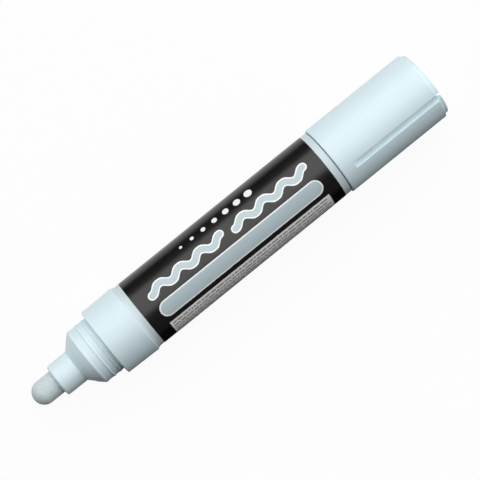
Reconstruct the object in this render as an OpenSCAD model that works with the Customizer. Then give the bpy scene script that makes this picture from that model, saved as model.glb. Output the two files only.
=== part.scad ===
// Liquid chalk marker with a valve-fed bullet nib, its cap posted on the rear end.
// It lies along X on the plane Z = 0, nib towards -X. Every turned piece is drawn as a profile of
// [radius, station] points, where the station is the distance behind the tip of the nib.

/* [Nib] */
// Diameter of the felt nib where the nozzle guides it
nib_d = 7.4; // [6:0.1:9]
// Length of the rounded nose
nib_nose_l = 3.6; // [2.5:0.1:4]
// Length of nib that stands out of the nozzle
nib_out = 8.5; // [6:0.1:10]
// How far the nib reaches into the valve housing
nib_inset = 0.2; // [0.1:0.1:1]
// How far the nib can be pushed in
press_travel = 2; // [1:0.1:2.5]
// Radial clearance round the nib and the plunger's rear stem
slide_play = 0.06; // [0.03:0.01:0.1]

/* [Nozzle] */
// Length of the nozzle's straight tube
nozzle_l = 6.9; // [5:0.1:10]
// Wall of the nozzle round the nib, at its front edge
nozzle_wall = 1.36; // [1.1:0.01:1.6]
// How much the nozzle's radius grows up to its cone
nozzle_taper = 0.04; // [0:0.02:0.5]
// Length of the nozzle's own cone
nozzle_cone_l = 1.9; // [1:0.1:3]
// Width of the shoulder under that cone, which rests on the front section
nozzle_step = 0.28; // [0.1:0.02:0.4]
// Diameter of the shank that is pressed into the front section
shank_d = 13.7; // [12.5:0.1:14.1]
// Length of the shank
shank_l = 8.3; // [6:0.1:10]
// Diameter of the wide feed bore at the shank's end
feed_d = 10; // [9:0.1:11]
// Length of the wide feed bore
feed_l = 3.3; // [2:0.1:5]
// Number of ink channels beside the nib
channel_count = 4; // [3:1:6]
// Width of an ink channel
channel_w = 0.9; // [0.5:0.1:1.2]
// Depth of an ink channel outside the nib's bore
channel_depth = 0.5; // [0.3:0.1:0.7]
// Length of nozzle in front of the ink channels
lip_l = 2; // [1:0.1:4]

/* [Front section] */
// Length of the second cone, between the part line and the neck
cone_l = 2.05; // [1.5:0.05:3]
// Width of the front section's edge at the part line
cone_edge = 0.44; // [0.3:0.02:1]
// Length of the neck
neck_l = 6.55; // [6:0.05:9]
// Height of the lip round the neck's front end
neck_lip_h = 0.1; // [0.05:0.01:0.15]
// Width of that lip
neck_lip_w = 0.5; // [0.3:0.1:0.8]
// Height of the snap beads on neck and post
bead_h = 0.22; // [0.05:0.01:0.3]
// Width of a snap bead
bead_w = 0.9; // [0.5:0.1:1.1]
// Distance of the rear bead from the collar
bead_near = 1.4; // [1:0.05:2]
// Distance of the front bead from the collar
bead_far = 3.6; // [3:0.05:4.5]
// Length of the collar
collar_l = 11.1; // [8:0.1:15]
// Height of the collar over the barrel, at the collar's front
collar_front_h = 0.32; // [0.2:0.01:0.6]
// Height of the collar over the barrel, at the collar's rear
collar_rear_h = 0.52; // [0.5:0.01:1]
// Diameter of the hole through the web that the nozzle seats on
web_d = 10.4; // [9:0.1:11]
// Thickness of that web
web_t = 1.4; // [1:0.1:2]

/* [Barrel] */
// Outer diameter of the barrel
barrel_d = 21.15; // [20.5:0.05:21.6]
// Height of the barrel's flared front edge, against the collar
flare_h = 0.28; // [0.1:0.02:0.5]
// Length of that flare
flare_l = 0.95; // [0.3:0.05:0.95]
// Length of the barrel between collar and shoulder
barrel_l = 71.3; // [50:0.1:100]
// Wall of the barrel
barrel_wall = 1.25; // [0.9:0.05:1.4]
// Wall of the post
post_wall = 1.3; // [0.9:0.05:1.6]
// Thickness of the post's closed end
post_floor = 1.4; // [1:0.1:2]
// Chamfer round the post's end
post_chamfer = 0.8; // [0.4:0.1:1]
// Gap between the post's end and the seal cup in the cap
post_gap = 1.4; // [0.8:0.1:2]

/* [Label] */
// Thickness of the label film
film_t = 0.1; // [0.05:0.01:0.15]
// Bare band of barrel in front of the label
film_front = 2.35; // [1:0.05:6]
// Bare band of barrel behind the label
film_rear = 2.2; // [1:0.05:6]

/* [Cap] */
// Height of the cap over the barrel
cap_h = 0.49; // [0.2:0.01:0.8]
// Wall of the cap, which sets the neck's and the post's diameter
cap_wall = 1.72; // [1.4:0.02:2]
// Gap between the cap's mouth and the shoulder
cap_gap = 0.2; // [0.1:0.05:0.5]
// Radial clearance between the cap's bore and the snap beads
cap_play = 0.06; // [0.03:0.01:0.1]
// Number of vent grooves
vent_count = 3; // [2:1:6]
// Angle of the first vent groove from the top towards -Y
vent_angle = 30; // [0:1:119]
// Width of a vent groove at the cap's surface
vent_w = 2.2; // [1.5:0.1:3]
// Width of a vent groove at its floor
vent_floor_w = 1.7; // [1:0.1:2.2]
// Depth of a vent groove
vent_depth = 0.85; // [0.5:0.05:1]
// Distance of the vent grooves from the cap's mouth
vent_start = 4.4; // [3:0.1:10]

/* [Cap insert] */
// Radial clearance between the seal cup and the nozzle
cup_play = 0.1; // [0.05:0.01:0.2]
// Wall of the seal cup
cup_wall = 1.1; // [0.8:0.1:1.5]
// Gap between the seal cup's mouth and the nozzle's cone, with the cap on the nib
cup_gap = 0.6; // [0.3:0.1:1.5]
// Room in front of the nib, with the cap on it
nib_room = 5.6; // [2:0.1:8]
// Thickness of the insert's floor
insert_floor = 1.4; // [1:0.1:2]
// Length of the ring that the shell grips, behind its end
insert_grip = 7; // [5:0.1:9]
// Depth of the recess in the cap's end
recess_depth = 3; // [2:0.1:5]
// How far the end rim is set in from the shell's surface
rim_inset = 0.77; // [0.3:0.01:1.2]
// Height of the end rim over the shell
rim_h = 1.3; // [0.5:0.05:2]
// Wall of the end rim
rim_wall = 1.5; // [1:0.1:2]
// Width of the notches in the rim, one behind each vent groove
notch_w = 1.7; // [1:0.1:2.2]

/* [Valve] */
// Thickness of the gasket
gasket_t = 0.8; // [0.5:0.1:1.2]
// Inner diameter of the gasket
gasket_d = 10.8; // [10:0.1:11.5]
// Outer diameter of the valve housing
housing_d = 14.4; // [13.6:0.1:15]
// Wall of the valve housing
housing_wall = 1; // [0.8:0.1:1.2]
// Diameter of the housing's front chamber
chamber_d = 10; // [9:0.1:11]
// Thickness of the valve seat
seat_t = 1.4; // [1:0.1:2]
// Diameter of the hole through the valve seat
seat_d = 5.2; // [4.6:0.1:5.4]
// Gap between the housing's rear flange and the barrel's bore
flange_gap = 0.8; // [0.4:0.1:1.4]
// Thickness of that flange
flange_t = 1.2; // [0.8:0.1:2]
// Diameter of the disc that the nib pushes
pusher_d = 6.4; // [5.6:0.1:7.4]
// Thickness of that disc
pusher_t = 1; // [0.6:0.1:1.4]
// Distance left between disc and seat when the nib is pushed in
pusher_clear = 0.6; // [0.3:0.1:1]
// Diameter of the plunger's stem
stem_d = 3; // [2.4:0.1:3.4]
// Thickness of the ribs of the stem's front part
stem_rib = 0.9; // [0.6:0.1:1.2]
// Gap between the plunger's head and the cage, for the ink
head_gap = 0.56; // [0.3:0.02:1]
// Thickness of the plunger's head
head_t = 1.4; // [1:0.1:2]
// Thickness of the O-ring on the plunger
seal_t = 1.2; // [0.8:0.1:1.5]
// Diameter of the O-ring, over the middle of its section
seal_d = 6.8; // [6.6:0.1:7.2]
// Wall of the cage
cage_wall = 1; // [0.8:0.1:1.1]
// Thickness of the cage's rear wall
cage_floor = 1.5; // [1:0.1:2]
// Diameter of a flow hole in the cage
flow_d = 1.8; // [1:0.1:2]
// Number of flow holes
flow_count = 6; // [3:1:8]
// Length of stem behind the cage
stem_out = 1.5; // [1:0.1:2]
// Gap between that stem and the housing's rear face when the nib is pushed in
stem_clear = 0.7; // [0.3:0.1:1.5]
// Diameter of the spring, over the middle of its wire
spring_d = 5.2; // [4.8:0.1:5.4]
// Thickness of the spring's wire
wire_d = 0.5; // [0.4:0.05:0.6]
// Length of the fitted spring
spring_l = 5.9; // [5:0.1:8]
// Number of turns of the spring
spring_turns = 5; // [4:1:6]

/* [Mixing ball] */
// Diameter of the ball
ball_d = 8; // [5:0.1:10]
// Gap between the ball and the chamber's wall
ball_gap = 0.05; // [0.02:0.01:0.3]
// Gap between the ball and the valve housing
ball_front = 0.8; // [0.3:0.1:5]

/* [Fits and edges] */
// Radial gap between pieces that are pressed together
fit_gap = 0.02; // [0.01:0.01:0.05]
// Radius of the nozzle's front edge
lip_r = 0.6; // [0.2:0.1:0.8]
// Radius of the outer edges of collar, barrel and cap
edge_r = 0.3; // [0.1:0.05:0.4]
// Height of the snap ridges that hold plug and insert
snap_h = 0.15; // [0.05:0.01:0.25]
// Width of those ridges
snap_w = 1.2; // [0.8:0.1:1.6]

/* [Hidden] */
facets = 96;
over = 1;

shell_colour = [0.82, 0.90, 0.92];
film_colour = [0.04, 0.04, 0.04];
felt_colour = [0.80, 0.85, 0.85];
valve_colour = [0.93, 0.93, 0.90];
seal_colour = [0.16, 0.16, 0.17];
steel_colour = [0.68, 0.69, 0.71];

// Radii
nib_r = nib_d / 2;
nib_bore_r = nib_r + slide_play;
nozzle_front_r = nib_bore_r + nozzle_wall;
nozzle_rear_r = nozzle_front_r + nozzle_taper;
shank_r = shank_d / 2;
nozzle_cone_r = shank_r + nozzle_step;
cone_front_r = shank_r + fit_gap + cone_edge;
barrel_r = barrel_d / 2;
bore_r = barrel_r - barrel_wall;
plug_r = bore_r - fit_gap;
collar_front_r = barrel_r + collar_front_h;
collar_r = barrel_r + collar_rear_h;
cap_r = barrel_r + cap_h;
cap_bore_r = cap_r - cap_wall;
neck_r = cap_bore_r - cap_play - bead_h;
post_bore_r = neck_r - post_wall;
grip_r = cap_bore_r - fit_gap;
rim_r = cap_r - rim_inset;
rim_bore_r = rim_r - rim_wall;
recess_r = grip_r - rim_wall;
cup_r = nozzle_rear_r + cup_play;
housing_r = housing_d / 2 - fit_gap;
flange_r = bore_r - flange_gap;
cage_bore_r = housing_r - housing_wall;
cage_r = cage_bore_r - fit_gap;
head_r = cage_r - cage_wall - head_gap;
stem_r = stem_d / 2;
hub_r = (seal_d - seal_t) / 2 - fit_gap;
wire_r = wire_d / 2;
boss_r = spring_d / 2 - wire_d;
flow_ring_r = (spring_d / 2 + wire_r + cage_r - cage_wall) / 2;
ball_r = ball_d / 2;

// Stations of the front end
nozzle_s = nib_out;
nozzle_cone_s = nozzle_s + nozzle_l;
joint_s = nozzle_cone_s + nozzle_cone_l;
neck_s = joint_s + cone_l;
lip_end_s = neck_s + neck_lip_w + neck_lip_h;
collar_s = neck_s + neck_l;
barrel_s = collar_s + collar_l;
web_s = joint_s + shank_l;
gasket_s = web_s + web_t;

// Stations of the valve
housing_s = gasket_s + gasket_t;
nib_end_s = housing_s + nib_inset;
seat_s = nib_end_s + pusher_t + press_travel + pusher_clear;
cage_s = seat_s + seat_t + fit_gap;
seal_s = cage_s + seal_t / 2;
head_s = seal_s + seal_t / 2;
spring_s = head_s + head_t;
cage_floor_s = spring_s + spring_l;
cage_end_s = cage_floor_s + cage_floor;
stem_end_s = cage_end_s + stem_out;
plug_end_s = stem_end_s + press_travel + stem_clear - flange_t;

// Stations of barrel and cap
shoulder_s = barrel_s + barrel_l;
cap_s = shoulder_s + cap_gap;
cup_s = cap_s + collar_s - nozzle_cone_s + cup_gap;
post_end_s = cup_s - post_gap;
cup_floor_s = cap_s + collar_s + nib_room;
recess_s = cup_floor_s + insert_floor;
overall_l = recess_s + recess_depth;
cap_end_s = overall_l - rim_h;
grip_s = cap_end_s - insert_grip;
ball_s = plug_end_s + flange_t + ball_front + ball_r;

// Snap ridges: one in the middle of the plug, one in the middle of the insert's grip
plug_snap_s = (barrel_s + plug_end_s) / 2;
grip_snap_s = grip_s + insert_grip / 2;

function reversed(points) = [for (i = [len(points) - 1:-1:0]) points[i]];

// A quarter round between two straight stretches, about its centre
function quarter(r, s, radius, from, steps = 4) = [
    for (i = [0:steps])
        [r + radius * cos(from + 90 * i / steps), s + radius * sin(from + 90 * i / steps)]
];

// A smooth ridge of height h along a cylinder of radius r
function ridge(r, s, h, w, steps = 6) = [
    for (i = [0:steps])
        [r + h * (1 - cos(360 * i / steps)) / 2, s + w * (i / steps - 0.5)]
];

// Half an ellipse's outline from the tip to the nose's full radius
function nose(r, l, steps = 14) = [
    for (i = [0:steps])
        [r * sin(90 * i / steps), l * (1 - cos(90 * i / steps))]
];

// Stands a piece drawn along Z into its place along X
module placed() {
    translate([-overall_l / 2, 0, collar_r])
        rotate([0, 90, 0])
            children();
}

module turned(points) {
    rotate_extrude($fn = facets)
        polygon(points);
}

module barrel() {
    // The ramp inside the shoulder keeps the barrel's wall round the shoulder's inner corner
    ramp_s = shoulder_s + neck_r - bore_r - barrel_wall * sqrt(2);
    ramp_end_s = ramp_s + bore_r - post_bore_r;
    outside = concat(
        [[barrel_r + flare_h, barrel_s], [barrel_r, barrel_s + flare_l]],
        quarter(barrel_r - edge_r, shoulder_s - edge_r, edge_r, 0),
        [[neck_r, shoulder_s]],
        ridge(neck_r, cap_s + bead_near, bead_h, bead_w),
        ridge(neck_r, cap_s + bead_far, bead_h, bead_w),
        [[neck_r, post_end_s - post_chamfer], [neck_r - post_chamfer, post_end_s], [0, post_end_s]]
    );
    inside = concat(
        [[bore_r, barrel_s]],
        ridge(bore_r, plug_snap_s, snap_h, snap_w),
        [[bore_r, ramp_s], [post_bore_r, ramp_end_s]],
        [[post_bore_r, post_end_s - post_floor], [0, post_end_s - post_floor]]
    );
    color(shell_colour)
        placed()
            turned(concat(outside, reversed(inside)));
}

module label_film() {
    inner_r = barrel_r + fit_gap / 2;
    color(film_colour)
        placed()
            turned([
                [inner_r, barrel_s + film_front],
                [barrel_r + film_t, barrel_s + film_front],
                [barrel_r + film_t, shoulder_s - film_rear],
                [inner_r, shoulder_s - film_rear]
            ]);
}

module front_section() {
    outside = concat(
        [[cone_front_r, joint_s], [neck_r + neck_lip_h, neck_s]],
        [[neck_r + neck_lip_h, lip_end_s - neck_lip_h], [neck_r, lip_end_s]],
        ridge(neck_r, collar_s - bead_far, bead_h, bead_w),
        ridge(neck_r, collar_s - bead_near, bead_h, bead_w),
        [[neck_r, collar_s]],
        quarter(collar_front_r - edge_r, collar_s + edge_r, edge_r, -90),
        quarter(collar_r - edge_r / 2, barrel_s - edge_r / 2, edge_r / 2, 0),
        [[plug_r, barrel_s]],
        ridge(plug_r, plug_snap_s, snap_h, snap_w),
        [[plug_r, plug_end_s - edge_r], [plug_r - edge_r, plug_end_s]]
    );
    inside = [
        [shank_r + fit_gap, joint_s],
        [shank_r + fit_gap, web_s],
        [web_d / 2, web_s],
        [web_d / 2, gasket_s],
        [housing_r + fit_gap, gasket_s],
        [housing_r + fit_gap, plug_end_s]
    ];
    color(shell_colour)
        placed()
            turned(concat(outside, reversed(inside)));
}

module nozzle() {
    outside = concat(
        quarter(nozzle_front_r - lip_r, nozzle_s + lip_r, lip_r, -90),
        [[nozzle_rear_r, nozzle_cone_s], [nozzle_cone_r, joint_s]],
        [[shank_r, joint_s], [shank_r, web_s - edge_r], [shank_r - edge_r, web_s]]
    );
    inside = [
        [nib_bore_r + edge_r / 2, nozzle_s],
        [nib_bore_r, nozzle_s + edge_r / 2],
        [nib_bore_r, web_s - feed_l],
        [feed_d / 2, web_s - feed_l],
        [feed_d / 2, web_s]
    ];
    color(shell_colour)
        placed()
            difference() {
                turned(concat(outside, reversed(inside)));
                for (i = [0:channel_count - 1])
                    rotate(i * 360 / channel_count)
                        translate([0, -channel_w / 2, nozzle_s + lip_l])
                            cube([nib_bore_r + channel_depth, channel_w, web_s - nozzle_s - lip_l + over]);
            }
}

module nib() {
    color(felt_colour)
        placed()
            turned(concat(
                nose(nib_r, nib_nose_l),
                [[nib_r, nib_end_s - edge_r], [nib_r - edge_r, nib_end_s], [0, nib_end_s]]
            ));
}

module valve_gasket() {
    color(seal_colour)
        placed()
            turned([
                [gasket_d / 2, gasket_s],
                [housing_r, gasket_s],
                [housing_r, housing_s],
                [gasket_d / 2, housing_s]
            ]);
}

module valve_housing() {
    // A low ridge behind the cage keeps it in
    ridge_r = cage_bore_r - snap_h;
    color(valve_colour)
        placed()
            turned([
                [chamber_d / 2, housing_s],
                [housing_r, housing_s],
                [housing_r, plug_end_s],
                [flange_r, plug_end_s],
                [flange_r, plug_end_s + flange_t],
                [cage_bore_r, plug_end_s + flange_t],
                [cage_bore_r, cage_end_s + fit_gap + 2 * snap_h],
                [ridge_r, cage_end_s + fit_gap + snap_h],
                [ridge_r, cage_end_s + fit_gap],
                [cage_bore_r, cage_end_s + fit_gap],
                [cage_bore_r, cage_s - fit_gap],
                [seat_d / 2, cage_s - fit_gap],
                [seat_d / 2, seat_s],
                [chamber_d / 2, seat_s]
            ]);
}

module valve_plunger() {
    pusher_end_s = nib_end_s + pusher_t;
    color(valve_colour)
        placed() {
            turned([
                [0, nib_end_s],
                [pusher_d / 2, nib_end_s],
                [pusher_d / 2, pusher_end_s],
                [0, pusher_end_s]
            ]);
            for (i = [0:1])
                rotate(90 * i)
                    translate([-stem_r, -stem_rib / 2, pusher_end_s])
                        cube([stem_d, stem_rib, cage_s - pusher_end_s]);
            turned([
                [0, cage_s],
                [hub_r, cage_s],
                [hub_r, head_s],
                [head_r, head_s],
                [head_r, spring_s],
                [boss_r, spring_s],
                [stem_r, spring_s + boss_r - stem_r],
                [stem_r, stem_end_s - edge_r],
                [stem_r - edge_r, stem_end_s],
                [0, stem_end_s]
            ]);
        }
}

module plunger_seal() {
    color(seal_colour)
        placed()
            translate([0, 0, seal_s])
                rotate_extrude($fn = facets)
                    translate([seal_d / 2, 0])
                        circle(d = seal_t - fit_gap, $fn = 32);
}

// The spring's wire: one ring of corners every eighth of a turn along a helix
spring_rings = 8;
spring_sides = 6;
spring_steps = spring_turns * spring_rings;
spring_rise = (spring_l - wire_d) / spring_steps;
spring_slope = atan(spring_rise * spring_rings / (PI * spring_d));

function spring_centre(i) = let (a = 360 * i / spring_rings)
    [spring_d / 2 * cos(a), spring_d / 2 * sin(a), spring_s + wire_r + spring_rise * i];

function spring_corner(i, j) =
    let (a = 360 * i / spring_rings, b = 360 * j / spring_sides)
    spring_centre(i)
        + wire_r * cos(b) * [cos(a), sin(a), 0]
        + wire_r * sin(b) * [sin(a) * sin(spring_slope), -cos(a) * sin(spring_slope), cos(spring_slope)];

spring_points = [
    for (i = [0:spring_steps], j = [0:spring_sides - 1])
        spring_corner(i, j)
];

function spring_index(i, j) = i * spring_sides + j % spring_sides;

spring_faces = concat(
    [
        for (i = [0:spring_steps - 1], j = [0:spring_sides - 1])
            [spring_index(i, j), spring_index(i, j + 1), spring_index(i + 1, j + 1)]
    ],
    [
        for (i = [0:spring_steps - 1], j = [0:spring_sides - 1])
            [spring_index(i, j), spring_index(i + 1, j + 1), spring_index(i + 1, j)]
    ],
    [for (j = [1:spring_sides - 2]) [0, spring_index(0, j + 1), spring_index(0, j)]],
    [
        for (j = [1:spring_sides - 2])
            [spring_index(spring_steps, 0), spring_index(spring_steps, j), spring_index(spring_steps, j + 1)]
    ]
);

// Least distance between the surfaces of neighbouring turns
spring_least_gap = min([
    for (i = [0:spring_steps - spring_rings], j = [-1:1])
        if (i + spring_rings + j <= spring_steps)
            norm(spring_centre(i + spring_rings + j) - spring_centre(i)) - wire_d
]);
echo(spring_least_gap = spring_least_gap);

module valve_spring() {
    color(steel_colour)
        placed()
            polyhedron(spring_points, spring_faces);
}

module valve_cage() {
    color(valve_colour)
        placed()
            difference() {
                turned([
                    [cage_r, cage_s],
                    [cage_r, cage_end_s],
                    [stem_r + slide_play, cage_end_s],
                    [stem_r + slide_play, cage_floor_s],
                    [cage_r - cage_wall, cage_floor_s],
                    [cage_r - cage_wall, cage_s]
                ]);
                for (i = [0:flow_count - 1])
                    rotate(i * 360 / flow_count)
                        translate([flow_ring_r, 0, cage_floor_s - over])
                            cylinder(d = flow_d, h = cage_floor + 2 * over, $fn = 32);
            }
}

module mixing_ball() {
    color(steel_colour)
        placed()
            translate([bore_r - ball_r - ball_gap, 0, ball_s])
                sphere(r = ball_r, $fn = facets);
}

// Turns a child drawn along the cap's first vent groove to each of them
module at_vents() {
    for (i = [0:vent_count - 1])
        rotate(180 + vent_angle + i * 360 / vent_count)
            children();
}

module vent_groove() {
    floor_r = cap_r - vent_depth;
    flare = (vent_w - vent_floor_w) / vent_depth;
    top_w = vent_w + flare * over;
    translate([0, 0, cap_s + vent_start])
        linear_extrude(cap_end_s - cap_s)
            polygon([
                [floor_r, -vent_floor_w / 2],
                [cap_r + over, -top_w / 2],
                [cap_r + over, top_w / 2],
                [floor_r, vent_floor_w / 2]
            ]);
}

module cap_shell() {
    outside = concat(
        quarter(cap_r - edge_r, cap_s + edge_r, edge_r, -90),
        quarter(cap_r - edge_r, cap_end_s - edge_r, edge_r, 0)
    );
    inside = concat(
        [[cap_bore_r + edge_r, cap_s], [cap_bore_r, cap_s + edge_r]],
        ridge(cap_bore_r, grip_snap_s, snap_h, snap_w),
        [[cap_bore_r, cap_end_s]]
    );
    color(shell_colour)
        placed()
            difference() {
                turned(concat(outside, reversed(inside)));
                at_vents()
                    vent_groove();
            }
}

module cap_insert() {
    lead = rim_bore_r - recess_r;
    outside = concat(
        [[cup_r, cup_s], [cup_r + cup_wall, cup_s], [cup_r + cup_wall, cup_floor_s]],
        [[recess_r, cup_floor_s], [recess_r, grip_s], [grip_r, grip_s]],
        ridge(grip_r, grip_snap_s, snap_h, snap_w),
        [[grip_r, cap_end_s], [rim_r, cap_end_s]],
        quarter(rim_r - edge_r, overall_l - edge_r, edge_r, 0)
    );
    inside = [
        [0, cup_floor_s],
        [0, recess_s],
        [recess_r, recess_s],
        [recess_r, overall_l - lead],
        [rim_bore_r, overall_l]
    ];
    color(shell_colour)
        placed()
            difference() {
                turned(concat(outside, reversed(inside), [[cup_r, cup_floor_s]]));
                at_vents()
                    translate([recess_r - over, -notch_w / 2, cap_end_s])
                        cube([rim_r - recess_r + 2 * over, notch_w, rim_h + over]);
            }
}

barrel();
label_film();
front_section();
nozzle();
nib();
valve_gasket();
valve_housing();
valve_plunger();
plunger_seal();
valve_spring();
valve_cage();
mixing_ball();
cap_shell();
cap_insert();
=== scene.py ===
"""A liquid chalk marker, its cap posted on the rear end: finishes, spring, print, light, camera."""

import math
import random

import bmesh
import bpy
from mathutils import Matrix, Vector


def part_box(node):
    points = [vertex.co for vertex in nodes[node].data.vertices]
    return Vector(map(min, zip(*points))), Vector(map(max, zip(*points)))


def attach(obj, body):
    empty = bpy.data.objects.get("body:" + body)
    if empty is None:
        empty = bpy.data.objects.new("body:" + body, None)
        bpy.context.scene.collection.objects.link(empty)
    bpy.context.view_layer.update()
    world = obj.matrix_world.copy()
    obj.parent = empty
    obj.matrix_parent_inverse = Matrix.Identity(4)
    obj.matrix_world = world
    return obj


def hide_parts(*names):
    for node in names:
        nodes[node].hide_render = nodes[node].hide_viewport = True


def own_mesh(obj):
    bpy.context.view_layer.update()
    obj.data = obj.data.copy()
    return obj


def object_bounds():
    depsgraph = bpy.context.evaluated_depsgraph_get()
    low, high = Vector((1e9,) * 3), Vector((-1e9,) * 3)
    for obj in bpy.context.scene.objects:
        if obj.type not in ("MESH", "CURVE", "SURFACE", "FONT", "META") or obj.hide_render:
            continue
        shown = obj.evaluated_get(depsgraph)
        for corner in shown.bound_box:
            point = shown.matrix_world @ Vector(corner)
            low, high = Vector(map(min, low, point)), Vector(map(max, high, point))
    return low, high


MM = 0.001

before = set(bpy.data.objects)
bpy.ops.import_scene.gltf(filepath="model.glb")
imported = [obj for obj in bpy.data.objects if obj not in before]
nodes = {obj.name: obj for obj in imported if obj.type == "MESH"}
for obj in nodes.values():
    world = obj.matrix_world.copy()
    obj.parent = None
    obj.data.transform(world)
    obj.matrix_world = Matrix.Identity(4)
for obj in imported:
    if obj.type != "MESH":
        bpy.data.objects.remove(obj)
cad_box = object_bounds()

# The label film carries the print, so its box gives the marker's axis and the print's radius
film_low, film_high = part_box("label_film")
AXIS_Z = (film_low.z + film_high.z) / 2
FILM_R = (film_high.z - film_low.z) / 2
FILM_FRONT = film_low.x
FILM_REAR = film_high.x


# Shader helpers

def new_material(name):
    material = bpy.data.materials.new(name)
    material.use_nodes = True
    return material, material.node_tree, material.node_tree.nodes["Principled BSDF"]


def set_inputs(node, values):
    for name, value in values.items():
        node.inputs[name].default_value = value


def add_node(tree, kind, values):
    node = tree.nodes.new(kind)
    set_inputs(node, values)
    return node


def noise(tree, size, detail=2.0, stretch=(1, 1, 1)):
    """Noise from 0 to 1 in the piece's own coordinates, with spots of the given size in metres.

    The spots are drawn out along an axis where its stretch is below 1.
    """
    coords = tree.nodes.new("ShaderNodeTexCoord")
    mapping = add_node(tree, "ShaderNodeMapping", {"Scale": stretch})
    spots = add_node(tree, "ShaderNodeTexNoise", {"Scale": 1 / size, "Detail": detail})
    tree.links.new(coords.outputs["Object"], mapping.inputs["Vector"])
    tree.links.new(mapping.outputs["Vector"], spots.inputs["Vector"])
    return spots.outputs["Fac"]


def spread(tree, value, low, high, span=(0.3, 0.7)):
    """A noise's usual span mapped to low and high."""
    node = add_node(
        tree,
        "ShaderNodeMapRange",
        {"From Min": span[0], "From Max": span[1], "To Min": low, "To Max": high},
    )
    tree.links.new(value, node.inputs["Value"])
    return node.outputs["Result"]


def blend_colours(tree, value, first, second):
    mix = tree.nodes.new("ShaderNodeMix")
    mix.data_type = "RGBA"
    set_inputs(mix, {"A": (*first, 1), "B": (*second, 1)})
    tree.links.new(value, mix.inputs["Factor"])
    return mix.outputs["Result"]


def bump(tree, value, depth, strength=1.0, under=None):
    """A bump of the given depth in metres, over another bump where there is one."""
    node = add_node(tree, "ShaderNodeBump", {"Strength": strength, "Distance": depth})
    tree.links.new(value, node.inputs["Height"])
    if under is not None:
        tree.links.new(under, node.inputs["Normal"])
    return node.outputs["Normal"]


def tint(tree, shader, value, colour, factor):
    """A base colour that drifts with the value from the given colour to a multiple of it."""
    other = tuple(c * factor for c in colour)
    drift = blend_colours(tree, spread(tree, value, 0, 1), colour, other)
    tree.links.new(drift, shader.inputs["Base Color"])


def roughen(tree, shader, value, low, high):
    """A roughness that drifts with the value from low to high."""
    tree.links.new(spread(tree, value, low, high), shader.inputs["Roughness"])


def mix_surface(tree, share, first, second, output="Material Output"):
    """Ends a tree in a mix of two shaders, with the second at the given share."""
    mix = tree.nodes.new("ShaderNodeMixShader")
    tree.links.new(share, mix.inputs["Fac"])
    tree.links.new(first, mix.inputs[1])
    tree.links.new(second, mix.inputs[2])
    tree.links.new(mix.outputs["Shader"], tree.nodes[output].inputs["Surface"])


# Finishes

def moulded(name, colour, roughness):
    """Satin moulded plastic: fine etched grain, slow waves in the wall, slight changes of tone."""
    material, tree, shader = new_material(name)
    tint(tree, shader, noise(tree, size=9 * MM), colour, factor=0.975)
    roughen(tree, shader, noise(tree, size=2.5 * MM), low=roughness - 0.04, high=roughness + 0.04)
    waves = bump(tree, noise(tree, size=6 * MM), depth=0.0015 * MM)
    grain = noise(tree, size=0.35 * MM, detail=4)
    tree.links.new(bump(tree, grain, depth=0.006 * MM, under=waves), shader.inputs["Normal"])
    return material


def glossy_film(name, colour, roughness=0.2, specular=0.5):
    """Printed film under a clear gloss, slightly uneven as a film wrapped round a tube is."""
    material, tree, shader = new_material(name)
    tint(tree, shader, noise(tree, size=0.5 * MM, detail=3), colour, factor=0.93)
    roughen(tree, shader, noise(tree, size=3 * MM), low=roughness - 0.02, high=roughness + 0.02)
    set_inputs(shader, {"Specular IOR Level": specular})
    uneven = noise(tree, size=6 * MM, stretch=(0.5, 1, 1))
    tree.links.new(bump(tree, uneven, depth=0.004 * MM), shader.inputs["Normal"])
    return material


def felt(name, colour, shade):
    """Bonded felt: light fibre ends over pores, with a soft sheen. Its colour darkens to the shade
    colour where the bump sinks the pores, as painted shade.
    """
    material, tree, shader = new_material(name)
    pores = noise(tree, size=0.55 * MM, detail=4)
    fibres = noise(tree, size=0.16 * MM, detail=3, stretch=(0.35, 1, 1))
    # Painted shade in the pores: the colour darkens where the pore noise sinks the bump
    pore_shade = spread(tree, pores, 0, 1, span=(0.35, 0.65))
    tree.links.new(blend_colours(tree, pore_shade, shade, colour), shader.inputs["Base Color"])
    set_inputs(
        shader,
        {"Roughness": 0.9, "Specular IOR Level": 0.2, "Sheen Weight": 0.25, "Sheen Roughness": 0.5},
    )
    holes = bump(tree, pores, depth=0.12 * MM, strength=0.6)
    hairs = bump(tree, fibres, depth=0.05 * MM, strength=0.8, under=holes)
    tree.links.new(hairs, shader.inputs["Normal"])
    return material


def rubber(name, colour):
    """Smooth moulded rubber with a paler bloom in spots."""
    material, tree, shader = new_material(name)
    tint(tree, shader, noise(tree, size=1.5 * MM, detail=3), colour, factor=1.5)
    roughen(tree, shader, noise(tree, size=0.8 * MM), low=0.5, high=0.62)
    skin = noise(tree, size=0.2 * MM, detail=3)
    tree.links.new(bump(tree, skin, depth=0.005 * MM), shader.inputs["Normal"])
    return material


def steel(name, colour, roughness, stretch=(1, 1, 1)):
    """Bare steel with fine drawing or polishing marks."""
    material, tree, shader = new_material(name)
    marks = noise(tree, size=0.15 * MM, detail=4, stretch=stretch)
    tint(tree, shader, marks, colour, factor=0.85)
    roughen(tree, shader, marks, low=roughness, high=roughness * 1.5)
    set_inputs(shader, {"Metallic": 1.0})
    tree.links.new(bump(tree, marks, depth=0.002 * MM), shader.inputs["Normal"])
    return material


def dress(material, *names):
    """Gives CAD nodes their finish."""
    for name in names:
        slots = nodes[name].data.materials
        slots.clear()
        slots.append(material)


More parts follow.
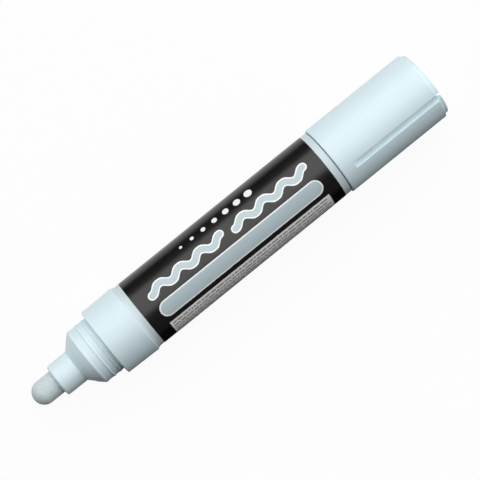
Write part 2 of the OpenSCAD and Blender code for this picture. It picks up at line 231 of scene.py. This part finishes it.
shell_plastic = moulded("shell_plastic", (0.715, 0.866, 0.916), roughness=0.46)
barrel_plastic = moulded("barrel_plastic", (0.62, 0.723, 0.76), roughness=0.42)
valve_plastic = moulded("valve_plastic", (0.84, 0.84, 0.80), roughness=0.4)
black_film = glossy_film("black_film", (0.003, 0.003, 0.0026), roughness=0.28, specular=0.35)
nib_felt = felt("nib_felt", colour=(0.66, 0.755, 0.77), shade=(0.57, 0.655, 0.67))
seal_rubber = rubber("seal_rubber", (0.03, 0.03, 0.033))
spring_steel = steel("spring_steel", (0.55, 0.56, 0.58), roughness=0.25, stretch=(1, 0.2, 0.2))
ball_steel = steel("ball_steel", (0.62, 0.63, 0.65), roughness=0.08)

dress(shell_plastic, "front_section", "nozzle", "cap_shell", "cap_insert")
dress(barrel_plastic, "barrel")
dress(valve_plastic, "valve_housing", "valve_plunger", "valve_cage")
dress(black_film, "label_film")
dress(nib_felt, "nib")
dress(seal_rubber, "valve_gasket", "plunger_seal")
dress(ball_steel, "mixing_ball")


# Objects made here

def add_object(name, data):
    thing = bpy.data.objects.new(name, data)
    bpy.context.scene.collection.objects.link(thing)
    return thing


def add_piece(name, mesh, material):
    """Turns a bmesh into an object with the given finish."""
    bmesh.ops.recalc_face_normals(mesh, faces=mesh.faces)
    data = bpy.data.meshes.new(name)
    mesh.to_mesh(data)
    mesh.free()
    data.materials.append(material)
    return add_object(name, data)


# Valve spring

WIRE_R = 0.25 * MM
WIRE_SIDES = 12
SPRING_TURNS = 5
STEPS_A_TURN = 32


def wire_ring(mesh, middle, out):
    """The wire's section at a place on the coil, where out points away from the coil's axis."""
    sides = [2 * math.pi * j / WIRE_SIDES for j in range(WIRE_SIDES)]
    along = Vector((1, 0, 0))
    return [
        mesh.verts.new(middle + WIRE_R * (math.cos(b) * out + math.sin(b) * along)) for b in sides
    ]


def make_spring():
    """The spring's round wire, coiled at the CAD spring's length. The real spring shortens towards
    the cage as the plunger comes in, but this mesh doesn't.
    """
    low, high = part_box("valve_spring")
    length = high.x - low.x
    coil_r = (high.z - low.z) / 2 - WIRE_R
    steps = SPRING_TURNS * STEPS_A_TURN
    rise = (length - 2 * WIRE_R) / steps
    mesh = bmesh.new()
    rings = []
    for i in range(steps + 1):
        turn = 2 * math.pi * i / STEPS_A_TURN
        out = Vector((0, math.cos(turn), math.sin(turn)))
        axis_point = Vector((low.x + WIRE_R + rise * i, 0, AXIS_Z))
        rings.append(wire_ring(mesh, axis_point + coil_r * out, out))
    for first, second in zip(rings, rings[1:]):
        for j in range(WIRE_SIDES):
            k = (j + 1) % WIRE_SIDES
            mesh.faces.new((first[j], first[k], second[k], second[j])).smooth = True
    mesh.faces.new(rings[0])
    mesh.faces.new(rings[-1])
    spring = add_piece("spring_wire", mesh, spring_steel)
    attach(spring, "marker_body")
    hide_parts("valve_spring")
    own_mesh(spring)


make_spring()


# Label print: thin sheets that lie on the film
# A place on the film is x along the marker and an arc, counted from the top line towards -Y.

INK = 0.012 * MM
LAYER = 0.016 * MM
MERGE = INK / 100
STEP = 0.5 * MM
BAND_STEP = 0.4 * STEP
BEND_STEPS = 10

white_print = glossy_film("white_print", (0.95, 0.96, 0.96))
blue_print = glossy_film("blue_print", (0.484, 0.59, 0.628))
pale_print = glossy_film("pale_print", (0.93, 0.93, 0.93))
dark_print = glossy_film("dark_print", (0.27, 0.27, 0.27))


def on_film(x, arc, lift):
    radius = FILM_R + lift
    angle = arc / FILM_R
    return Vector((x, -radius * math.sin(angle), AXIS_Z + radius * math.cos(angle)))


def add_sheet(mesh, columns, layer):
    """Adds a closed sheet that spans each column (x, low arc, high arc), on a layer of print."""
    widest = max(high - low for x, low, high in columns)
    rows = max(1, math.ceil(widest / STEP))

    def grid_at(lift):
        return [
            [
                mesh.verts.new(on_film(x, low + (high - low) * i / rows, lift))
                for i in range(rows + 1)
            ]
            for x, low, high in columns
        ]

    inner = grid_at(layer * LAYER)
    outer = grid_at(layer * LAYER + INK)
    for grid in (inner, outer):
        for first, second in zip(grid, grid[1:]):
            for i in range(rows):
                mesh.faces.new((first[i], second[i], second[i + 1], first[i + 1]))
    for i in (0, rows):
        for c in range(len(columns) - 1):
            mesh.faces.new((inner[c][i], inner[c + 1][i], outer[c + 1][i], outer[c][i]))
    for c in (0, -1):
        for i in range(rows):
            mesh.faces.new((inner[c][i], inner[c][i + 1], outer[c][i + 1], outer[c][i]))
    corners = [v for column in inner + outer for v in column]
    bmesh.ops.remove_doubles(mesh, verts=corners, dist=MERGE)


def box_columns(start, end, low, high):
    return [(start, low, high), (end, low, high)]


def band(start, end, half, centre, slope=lambda x: 0):
    """Columns of a band of even width with round ends, whose middle runs at arc centre(x)."""
    straight = end - start - 2 * half
    inside = max(1, math.ceil(straight / BAND_STEP))
    bends = [math.pi / 2 * i / BEND_STEPS for i in range(BEND_STEPS + 1)]
    xs = [start + half - half * math.cos(b) for b in bends]
    xs += [start + half + straight * i / inside for i in range(1, inside)]
    xs += [end - half + half * math.sin(b) for b in bends]
    columns = []
    for x in xs:
        past = max(start + half - x, x - (end - half), 0) / half
        reach = half * math.sqrt(max(0, 1 - past * past)) * math.hypot(1, slope(x))
        columns.append((x, centre(x) - reach, centre(x) + reach))
    return columns


def print_piece(name, material, sheets, layer):
    """One colour of print: a mesh of closed sheets on the film."""
    mesh = bmesh.new()
    for columns in sheets:
        add_sheet(mesh, columns, layer)
    piece = add_piece(name, mesh, material)
    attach(piece, "marker_body")


OUTLINE = 0.42 * MM
PRINT_START = FILM_FRONT + 4.4 * MM
PRINT_END = FILM_REAR - 4 * MM

# A round-ended field of the ink's colour in a white outline
FIELD_ARC = 3.65 * MM
FIELD_HALF = 2.55 * MM


def ink_field(inset):
    return band(PRINT_START + inset, PRINT_END - inset, FIELD_HALF - inset, lambda x: FIELD_ARC)


print_piece("ink_field_outline", white_print, [ink_field(0)], 0)
print_piece("ink_field", blue_print, [ink_field(OUTLINE)], 1)

# Two plain waved chalk strokes in a white outline
WAVE_ARC = -2.69 * MM
WAVE_HALF = 1.3 * MM
WAVE_HEIGHT = 0.88 * MM
WAVE_TURNS = 3.5
WAVE_GAP = 1.9 * MM
WAVE_START = PRINT_START - 0.2 * MM
WAVE_END = PRINT_END - 0.1 * MM
WAVE_MIDDLE = (WAVE_START + WAVE_END) / 2


def wave(start, end, inset):
    """A stroke that waves WAVE_TURNS times and is level at both ends."""
    whole = 2 * math.pi * WAVE_TURNS
    turn = whole / (end - start - 2 * WAVE_HALF)

    def phase(x):
        return min(max(turn * (x - start - WAVE_HALF), 0), whole)

    return band(
        start + inset,
        end - inset,
        WAVE_HALF - inset,
        lambda x: WAVE_ARC + WAVE_HEIGHT * math.cos(phase(x)),
        lambda x: -WAVE_HEIGHT * turn * math.sin(phase(x)),
    )


def waves(inset):
    return [
        wave(WAVE_START, WAVE_MIDDLE - WAVE_GAP / 2, inset),
        wave(WAVE_MIDDLE + WAVE_GAP / 2, WAVE_END, inset),
    ]


print_piece("wave_outline", white_print, waves(0), 0)
print_piece("wave", blue_print, waves(OUTLINE), 1)

# A row of plain dots of rising size
DOTS = 7
DOT_ARC = -8.3 * MM
DOT_START = -12.5 * MM
DOT_PITCH = 4.07 * MM
DOT_R = 0.5 * MM
DOT_GROWTH = 0.13 * MM


def dot(i):
    middle = DOT_START + DOT_PITCH * i
    radius = DOT_R + DOT_GROWTH * i
    return band(middle - radius, middle + radius, radius, lambda x: DOT_ARC)


print_piece("dots", white_print, [dot(i) for i in range(DOTS)], 0)

# A pale panel that runs round to the back, with rows of fine strokes in place of its small print
PANEL_START = PRINT_START + 0.15 * MM
PANEL_END = PRINT_END - 0.15 * MM
PANEL_LOW = 7.85 * MM
PANEL_HIGH = 27.5 * MM
FIRST_ROW = PANEL_LOW + 1.05 * MM
ROW_PITCH = 1.3 * MM
ROW_HALF = 0.23 * MM
ROW_MARGIN = 0.7 * MM
LAST_STROKE = PANEL_END - 2 * MM
STROKES_MM = (0.5, 2.6)
GAPS_MM = (0.3, 0.45)


def panel_strokes():
    draw = random.Random(7)
    strokes = []
    row = FIRST_ROW
    while row < PANEL_HIGH - ROW_MARGIN:
        x = PANEL_START + ROW_MARGIN
        while x < LAST_STROKE:
            end = min(x + draw.uniform(*STROKES_MM) * MM, PANEL_END - ROW_MARGIN)
            strokes.append(box_columns(x, end, row - ROW_HALF, row + ROW_HALF))
            x = end + draw.uniform(*GAPS_MM) * MM
        row += ROW_PITCH
    return strokes


panel = box_columns(PANEL_START, PANEL_END, PANEL_LOW, PANEL_HIGH)
print_piece("panel", pale_print, [panel], 0)
print_piece("strokes", dark_print, panel_strokes(), 1)

# The film's ends lap over each other on the far side
SEAM_LOW = 31 * MM
SEAM_HIGH = 34 * MM
seam = box_columns(FILM_FRONT, FILM_REAR, SEAM_LOW, SEAM_HIGH)
print_piece("film_lap", black_film, [seam], 0)


# Floor, cards, world, lamps and camera

WHITE = (1, 1, 1, 1)

# The floor: its grey for bounced light, its grey for what a ray shows, and how white that is made
FLOOR_SIZE = 6
FLOOR_DROP = 0.02 * MM
FLOOR_BOUNCE = 0.42
FLOOR_PAINT = 0.85
FLOOR_WHITE = 0.93
STUDIO_DIM = 0.02

# The cards: half their length along X, and how high and how far out they lie
CARD_BLACK = (0.01, 0.01, 0.01, 1)
CARD_REACH = 300 * MM
CARD_LIFT = 0.5 * MM
CARD_FAR = 400 * MM
STAND_GLOW = 0.18

LAMP_DISTANCE = 2.4

CAMERA_DISTANCE = 0.62
CAMERA_TILT = math.radians(2.27)
CAMERA_TURN = math.radians(38.99)
CAMERA_TARGET = Vector((2.22 * MM, -1.46 * MM, AXIS_Z))
CAMERA_LENS = 162.1
CAMERA_SENSOR = 36


def shown(tree, seen=1.0):
    """The share for what a ray shows: seen by the camera, or mirrored in gloss or through glass."""
    path = tree.nodes.new("ShaderNodeLightPath")
    total = None
    for name, share in (("Is Camera Ray", seen), ("Is Glossy Ray", 1), ("Is Transmission Ray", 1)):
        part = tree.nodes.new("ShaderNodeMath")
        part.operation = "MULTIPLY_ADD"
        part.inputs[1].default_value = share
        part.inputs[2].default_value = 0
        tree.links.new(path.outputs[name], part.inputs[0])
        if total is not None:
            tree.links.new(total, part.inputs[2])
        total = part.outputs["Value"]
    return total


def make_floor():
    """A pale floor that keeps the shadow. It looks white, and bounces light as a mid grey."""
    height = cad_box[0].z - FLOOR_DROP
    bpy.ops.mesh.primitive_plane_add(size=FLOOR_SIZE, location=(0, 0, height))
    floor = bpy.context.object
    floor.name = "floor"
    material, tree, shader = new_material("floor_paint")
    paint = blend_colours(tree, shown(tree), (FLOOR_BOUNCE,) * 3, (FLOOR_PAINT,) * 3)
    tree.links.new(paint, shader.inputs["Base Color"])
    set_inputs(shader, {"Roughness": 0.9})
    glow = add_node(tree, "ShaderNodeEmission", {"Color": WHITE, "Strength": 1.0})
    share = shown(tree, FLOOR_WHITE)
    mix_surface(tree, share, shader.outputs["BSDF"], glow.outputs["Emission"])
    floor.data.materials.append(material)


def make_card(name, side, low, high, glow=0.0, shades=False):
    """A dark card on the side -1 or 1 along Y, hidden from the camera, that gloss mirrors as a
    painted reflection.

    It spans from low to high, each a distance from the marker and a height above the floor. Only
    its front, upwards or towards the marker, is dark. Its back is clear, so that the floor stays
    even. Where it shades, it also holds back the light that the floor bounces.
    """
    edge = cad_box[1].y if side > 0 else cad_box[0].y
    reach = CARD_REACH * side
    corners = [
        (x, edge + side * away, height)
        for ends, (away, height) in (((-reach, reach), low), ((reach, -reach), high))
        for x in ends
    ]
    data = bpy.data.meshes.new(name)
    data.from_pydata(corners, [], [(0, 1, 2, 3)])
    card = add_object(name, data)
    card.visible_camera = False
    card.visible_shadow = False
    card.visible_diffuse = shades
    material, tree, shader = new_material(name + "_painted_reflection")
    set_inputs(shader, {"Base Color": CARD_BLACK, "Roughness": 1.0, "Specular IOR Level": 0.0})
    set_inputs(shader, {"Emission Color": WHITE, "Emission Strength": glow})
    facing = tree.nodes.new("ShaderNodeNewGeometry")
    clear = tree.nodes.new("ShaderNodeBsdfTransparent")
    mix_surface(tree, facing.outputs["Backfacing"], shader.outputs["BSDF"], clear.outputs["BSDF"])
    data.materials.append(material)


def make_world():
    """A dim studio that the camera, gloss and glass show as white."""
    world = bpy.data.worlds.new("studio")
    bpy.context.scene.world = world
    world.use_nodes = True
    tree = world.node_tree
    dim = tree.nodes["Background"]
    set_inputs(dim, {"Color": WHITE, "Strength": STUDIO_DIM})
    white = add_node(tree, "ShaderNodeBackground", {"Color": WHITE, "Strength": 1.0})
    mix_surface(
        tree, shown(tree), dim.outputs["Background"], white.outputs["Background"], "World Output"
    )


def aim(thing, location, right, up, back):
    """Sets a lamp or camera at a location, looking the other way from back."""
    turned = Matrix((right, up, back)).transposed().to_4x4()
    thing.matrix_world = Matrix.Translation(location) @ turned


def soft_box(name, towards, width, length, power):
    """A soft box in the given direction from the marker, its length along the marker."""
    data = bpy.data.lights.new(name, "AREA")
    data.shape = "RECTANGLE"
    data.size = length
    data.size_y = width
    data.energy = power
    back = Vector(towards).normalized()
    along = (Vector((1, 0, 0)) - back * back.x).normalized()
    location = Vector((0, 0, AXIS_Z)) + back * LAMP_DISTANCE
    aim(add_object(name, data), location, along, back.cross(along), back)


def make_camera():
    """The photo's view: from above, tilted slightly to the nib and turned in the picture."""
    data = bpy.data.cameras.new("camera")
    data.sensor_width = CAMERA_SENSOR
    data.lens = CAMERA_LENS
    along = Vector((math.cos(CAMERA_TILT), 0, math.sin(CAMERA_TILT)))
    across = Vector((0, 1, 0))
    back = Vector((-math.sin(CAMERA_TILT), 0, math.cos(CAMERA_TILT)))
    right = along * math.cos(CAMERA_TURN) - across * math.sin(CAMERA_TURN)
    up = along * math.sin(CAMERA_TURN) + across * math.cos(CAMERA_TURN)
    camera = add_object("camera", data)
    aim(camera, CAMERA_TARGET + back * CAMERA_DISTANCE, right, up, back)
    bpy.context.scene.camera = camera


make_floor()
# The cards' black and glow are painted reflection, seen only in gloss. near_flag stands in for the
# marker's shadow on the floor beside it, far_flag, from 40 mm out on the +Y side, for the dark
# studio beyond the lit floor, and the stands, glowing at STAND_GLOW, for the studio's dim sides
card_foot = (CARD_FAR, CARD_LIFT)
make_card("near_flag", -1, low=(1 * MM, CARD_LIFT), high=card_foot, shades=True)
make_card("far_flag", 1, low=(40 * MM, CARD_LIFT), high=card_foot)
make_card("near_stand", -1, low=card_foot, high=(240 * MM, 1000 * MM), glow=STAND_GLOW)
make_card("far_stand", 1, low=card_foot, high=(CARD_FAR, 190 * MM), glow=STAND_GLOW)
make_world()
soft_box("key", (0.364, 0.452, 1), width=3.95, length=2.8, power=79.5)
soft_box("left", (-0.739, 0.537, 0.407), width=0.95, length=0.95, power=11.6)
soft_box("right", (0.739, -0.537, 0.407), width=0.95, length=0.95, power=10.7)
soft_box("end", (0.914, 0, 0.407), width=0.95, length=0.95, power=3.8)
make_camera()

bpy.context.scene.view_settings.view_transform = "Standard"
